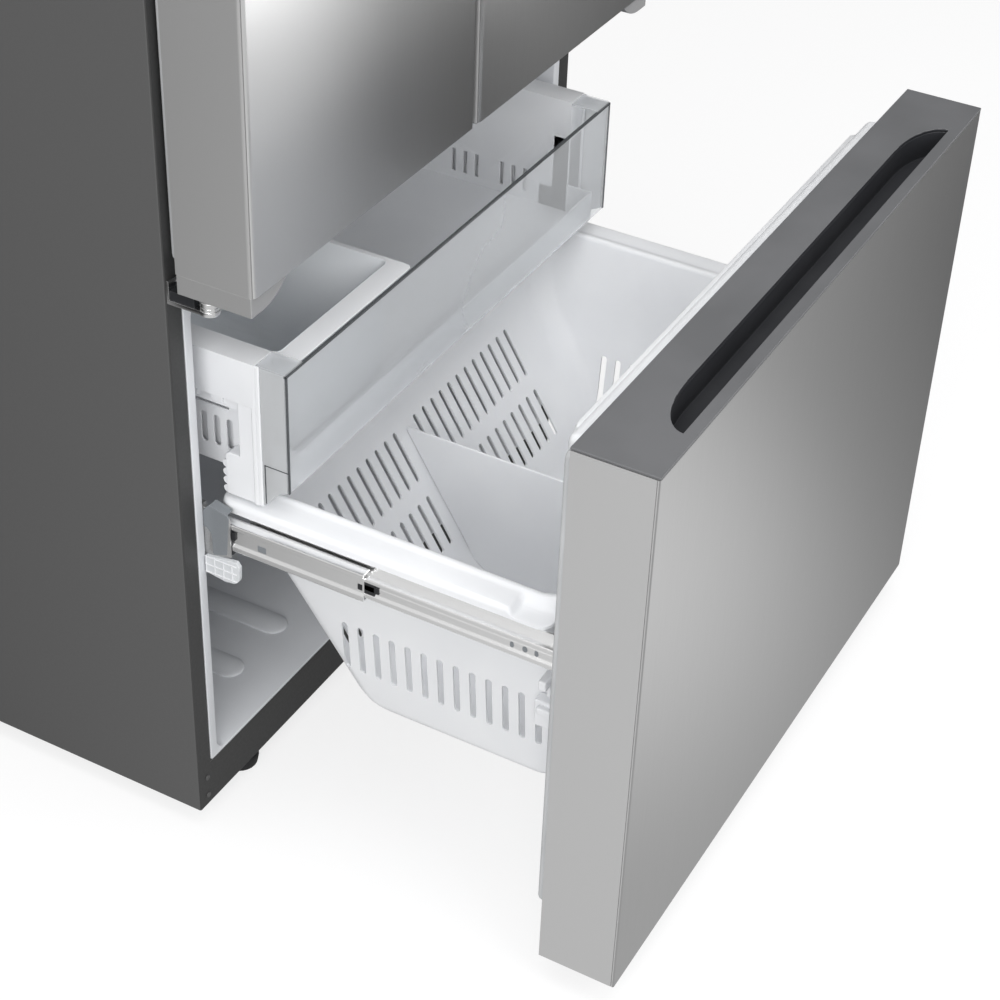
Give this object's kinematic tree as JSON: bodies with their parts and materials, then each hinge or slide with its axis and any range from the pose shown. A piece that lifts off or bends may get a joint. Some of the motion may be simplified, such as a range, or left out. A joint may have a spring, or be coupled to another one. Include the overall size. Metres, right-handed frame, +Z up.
{
  "type": "french door refrigerator",
  "caption": "Wide refrigerator with two side-hinged upper doors over a pull-out freezer drawer with a deep basket, shown with the drawer open.",
  "frame": {"origin": "on the floor, under the middle of the whole object's box with the freezer drawer open", "axes": "+Z up, -Y towards the user, out of the doors and the drawer; +X to the right for someone facing the refrigerator"},
  "size_m": [0.908, 1.314, 1.7734],
  "materials": {
    "painted_steel": "satin",
    "galvanised_steel": "satin",
    "brushed_steel": "satin",
    "zinc_steel": "satin",
    "white_plastic": "satin",
    "clear_plastic": "gloss",
    "shelf_glass": "gloss",
    "dark_plastic": "satin",
    "grey_plastic": "satin",
    "gasket_rubber": "matte",
    "foot_rubber": "matte",
    "foam": "matte",
    "black_enamel": "satin",
    "aluminium": "satin"
  },
  "bodies": {
    "cabinet": {"cabinet_shell": "painted_steel", "back_panel": "galvanised_steel", "base_pan": "galvanised_steel", "slide_rail_left": "galvanised_steel", "slide_rail_right": "galvanised_steel", "middle_hinge_left": "zinc_steel", "middle_hinge_right": "zinc_steel", "top_hinge_left": "zinc_steel", "top_hinge_right": "zinc_steel", "freezer_liner": "white_plastic", "fridge_liner": "white_plastic", "evaporator_cover": "white_plastic", "air_duct": "white_plastic", "crisper_left": "clear_plastic", "crisper_right": "clear_plastic", "shelf_left": "shelf_glass", "shelf_right": "shelf_glass", "crisper_cover": "shelf_glass", "machine_cover": "dark_plastic", "hinge_cover_left": "dark_plastic", "hinge_cover_right": "dark_plastic", "levelling_foot_left": "foot_rubber", "levelling_foot_right": "foot_rubber", "cord_gland": "foot_rubber", "insulation_foam": "foam", "compressor": "black_enamel", "evaporator_coil": "aluminium"},
    "left_door": {"left_door_skin": "brushed_steel", "left_door_core": "white_plastic", "left_door_bottom_cap": "grey_plastic", "left_door_top_cap": "dark_plastic", "left_door_gasket": "gasket_rubber", "left_door_bin_upper": "clear_plastic", "left_door_bin_lower": "clear_plastic"},
    "right_door": {"right_door_skin": "brushed_steel", "right_door_core": "white_plastic", "right_door_bottom_cap": "grey_plastic", "right_door_top_cap": "dark_plastic", "right_door_gasket": "gasket_rubber", "right_door_bin_upper": "clear_plastic", "right_door_bin_lower": "clear_plastic"},
    "mullion": {"mullion_flap": "white_plastic"},
    "freezer_drawer": {"drawer_skin": "brushed_steel", "drawer_handle_cap": "dark_plastic", "drawer_bottom_cap": "dark_plastic", "drawer_core": "white_plastic", "drawer_gasket": "gasket_rubber", "freezer_basket": "white_plastic", "basket_divider": "white_plastic", "slide_inner_left": "zinc_steel", "slide_inner_right": "zinc_steel"},
    "slide_left": {"slide_middle_left": "zinc_steel"},
    "slide_right": {"slide_middle_right": "zinc_steel"},
    "freezer_tray": {"tray_body": "white_plastic", "tray_front": "clear_plastic", "ice_bin": "white_plastic"},
    "roller_left": {"rear_roller_left": "dark_plastic"},
    "roller_right": {"rear_roller_right": "dark_plastic"},
    "fan": {"condenser_fan": "dark_plastic"}
  },
  "joints": [
    {"name": "left_door_hinge", "type": "hinge", "parent": "cabinet", "child": "left_door", "pos_m": [-0.4425, -0.134, 0.805], "axis": [0, 0, -1], "range_deg": [0, 120]},
    {"name": "right_door_hinge", "type": "hinge", "parent": "cabinet", "child": "right_door", "pos_m": [0.4425, -0.134, 0.805], "axis": [0, 0, 1], "range_deg": [0, 120]},
    {"name": "mullion_turn", "type": "hinge", "parent": "left_door", "child": "mullion", "pos_m": [-0.038, -0.0785, 0.828], "axis": [0, 0, 1], "range_deg": [-90, 0]},
    {"name": "freezer_drawer_slide", "type": "slide", "parent": "cabinet", "child": "freezer_drawer", "axis": [0, -1, 0], "range_m": [-0.46, 0]},
    {"name": "slide_left_run", "type": "slide", "parent": "cabinet", "child": "slide_left", "axis": [0, -1, 0], "range_m": [-0.23, 0]},
    {"name": "slide_right_run", "type": "slide", "parent": "cabinet", "child": "slide_right", "axis": [0, -1, 0], "range_m": [-0.23, 0]},
    {"name": "freezer_tray_slide", "type": "slide", "parent": "cabinet", "child": "freezer_tray", "axis": [0, -1, 0], "range_m": [-0.138, 0]},
    {"name": "roller_left_spin", "type": "hinge", "parent": "cabinet", "child": "roller_left", "pos_m": [-0.36, 0.579, 0.022], "axis": [1, 0, 0], "continuous": true},
    {"name": "roller_right_spin", "type": "hinge", "parent": "cabinet", "child": "roller_right", "pos_m": [0.36, 0.579, 0.022], "axis": [1, 0, 0], "continuous": true},
    {"name": "fan_spin", "type": "hinge", "parent": "cabinet", "child": "fan", "pos_m": [-0.02, 0.519, 0.146], "axis": [1, 0, 0], "continuous": true}
  ],
  "couplings": [
    {"joint": "slide_left_run", "follows": "freezer_drawer_slide", "ratio": 0.5},
    {"joint": "slide_right_run", "follows": "freezer_drawer_slide", "ratio": 0.5},
    {"joint": "freezer_tray_slide", "follows": "freezer_drawer_slide", "ratio": 0.3}
  ]
}
